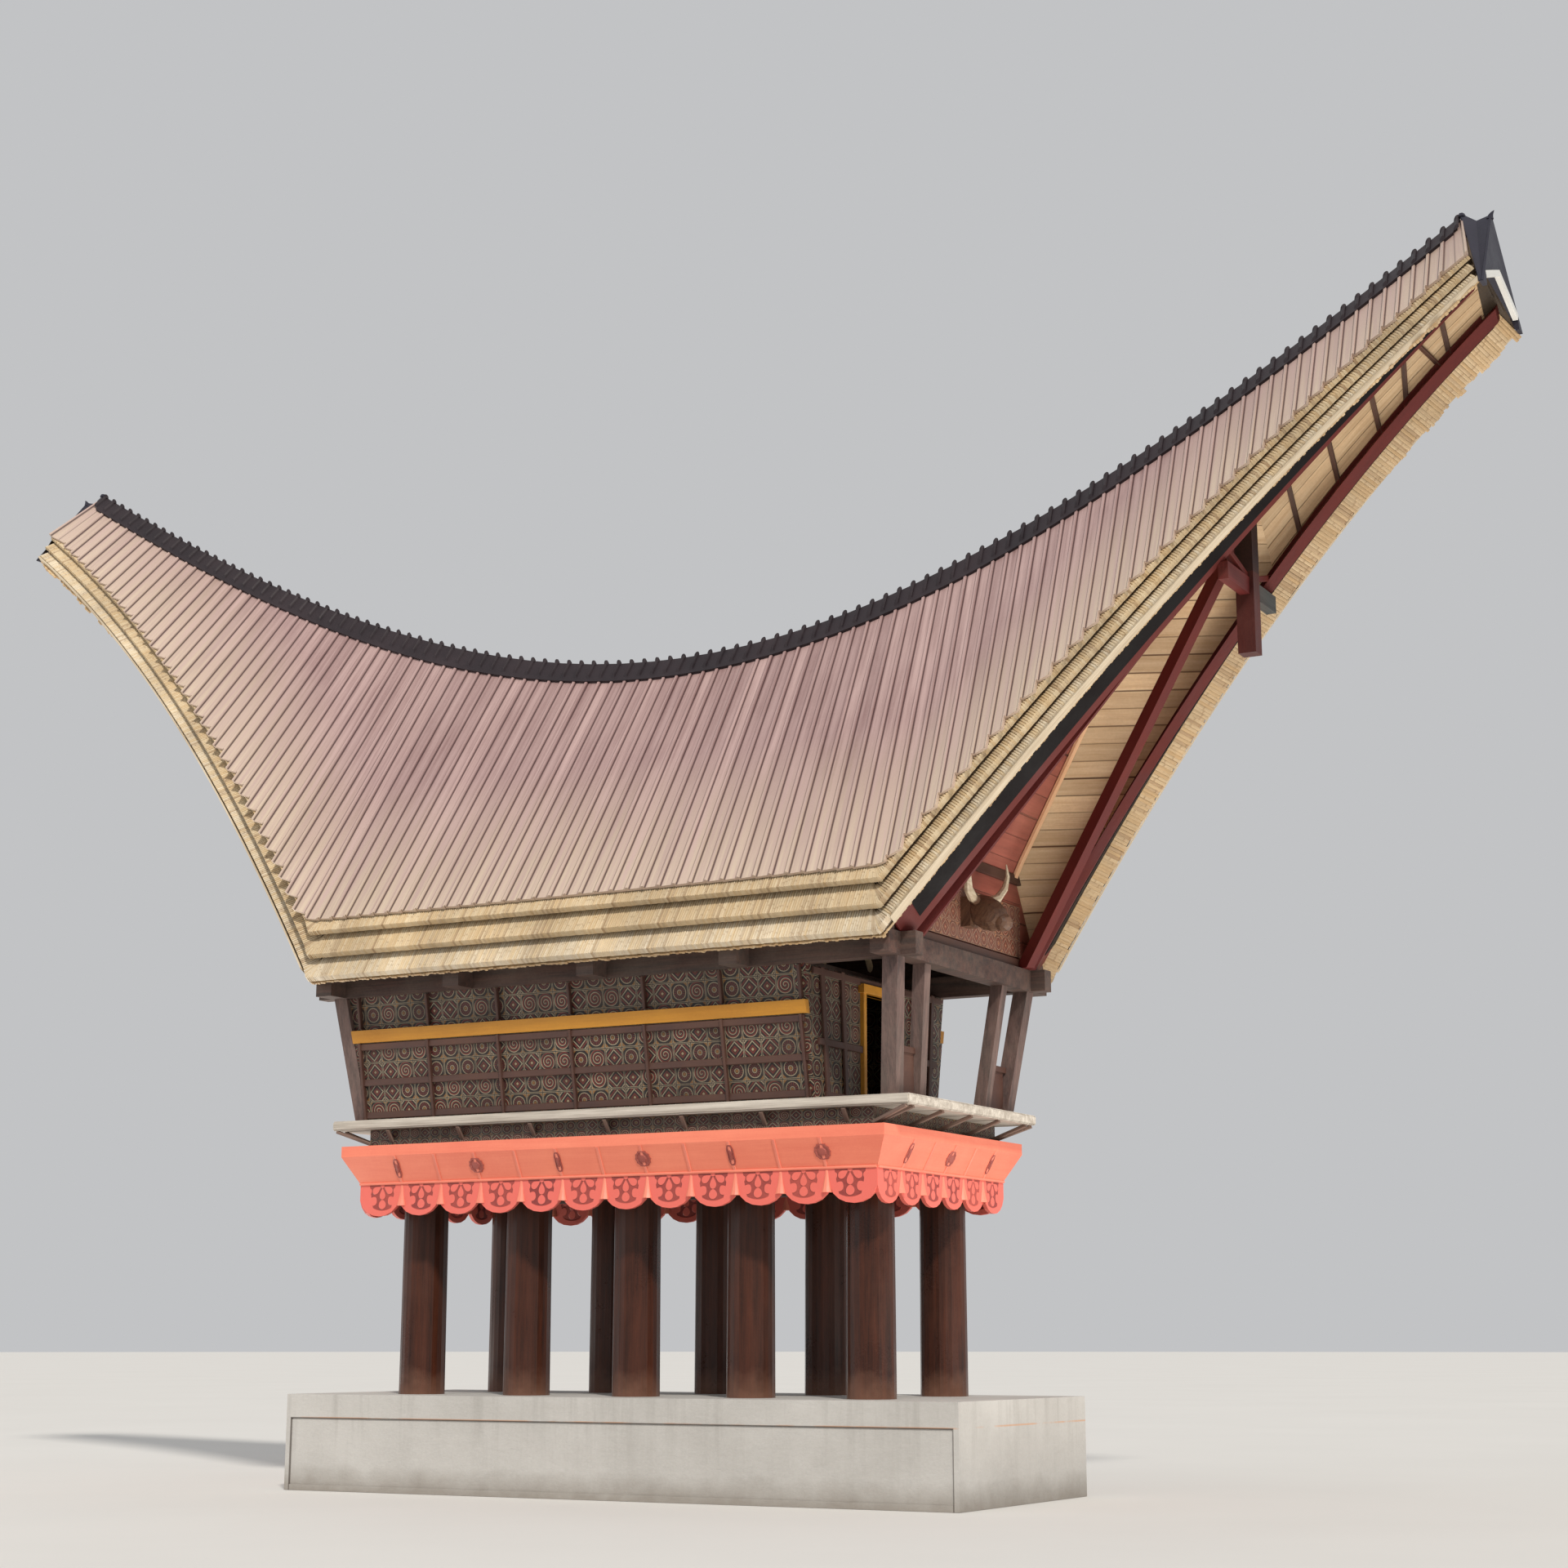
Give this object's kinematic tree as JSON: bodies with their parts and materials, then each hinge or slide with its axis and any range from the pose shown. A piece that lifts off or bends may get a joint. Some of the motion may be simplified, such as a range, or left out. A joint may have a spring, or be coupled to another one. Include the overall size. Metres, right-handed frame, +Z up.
{
  "type": "tongkonan house",
  "caption": "Saddle-roofed timber house on round pillars over a masonry plinth, with a scalloped skirt, a front porch and long rising prows at both ends.",
  "frame": {"origin": "on the ground, under the middle of the house", "axes": "+X along the ridge towards the front prow, +Y across the house to its left, +Z up"},
  "size_m": [18.02, 4.1076, 12.06],
  "materials": {
    "concrete": "whitewashed render over masonry",
    "pillar_wood": "dark red-brown varnish",
    "dark_wood": "dark weathered timber",
    "grey_wood": "grey weathered timber",
    "skirt_paint": "salmon paint on boards",
    "carved_wood": "black ground with carved and painted ornament",
    "rail_paint": "mustard yellow paint",
    "red_wood": "oxblood paint",
    "gable_paint": "maroon paint on boards",
    "bamboo": "split bamboo, weathered yellow and tan",
    "roof_paint": "maroon paint, faded by the sun",
    "cap_metal": "dark slate-grey folded sheet"
  },
  "bodies": {
    "root": {"plinth": "concrete", "pillar_left_1": "pillar_wood", "pillar_left_2": "pillar_wood", "pillar_left_3": "pillar_wood", "pillar_left_4": "pillar_wood", "pillar_left_5": "pillar_wood", "pillar_right_1": "pillar_wood", "pillar_right_2": "pillar_wood", "pillar_right_3": "pillar_wood", "pillar_right_4": "pillar_wood", "pillar_right_5": "pillar_wood", "floor_bearers": "dark_wood", "ring_beam": "carved_wood", "floor_deck": "grey_wood", "skirt_left": "skirt_paint", "skirt_right": "skirt_paint", "skirt_front": "skirt_paint", "skirt_rear": "skirt_paint", "wall_left": "carved_wood", "wall_right": "carved_wood", "rail_left": "rail_paint", "rail_right": "rail_paint", "front_wall": "carved_wood", "rear_wall": "carved_wood", "corner_post_front_left": "dark_wood", "corner_post_front_right": "dark_wood", "corner_post_rear_left": "dark_wood", "corner_post_rear_right": "dark_wood", "front_post_left": "dark_wood", "front_post_right": "dark_wood", "wall_plates": "grey_wood", "eaves_purlin_left": "grey_wood", "eaves_purlin_right": "grey_wood", "gable_front": "gable_paint", "gable_rear": "gable_paint", "buffalo_head": "dark_wood", "ridge_beam": "dark_wood", "hanging_post_front": "red_wood", "hanging_post_rear": "red_wood", "crossbeam_front": "grey_wood", "crossbeam_rear": "grey_wood", "strut_front_left": "red_wood", "strut_front_right": "red_wood", "strut_rear_left": "red_wood", "strut_rear_right": "red_wood", "verge_rafter_front_left": "red_wood", "verge_rafter_front_right": "red_wood", "verge_rafter_rear_left": "red_wood", "verge_rafter_rear_right": "red_wood", "bamboo_roof_left": "bamboo", "bamboo_roof_right": "bamboo", "roof_sheet_left": "roof_paint", "roof_sheet_right": "roof_paint", "ridge_cap": "cap_metal", "prow_hood_front": "cap_metal", "prow_hood_rear": "cap_metal"}
  },
  "joints": []
}
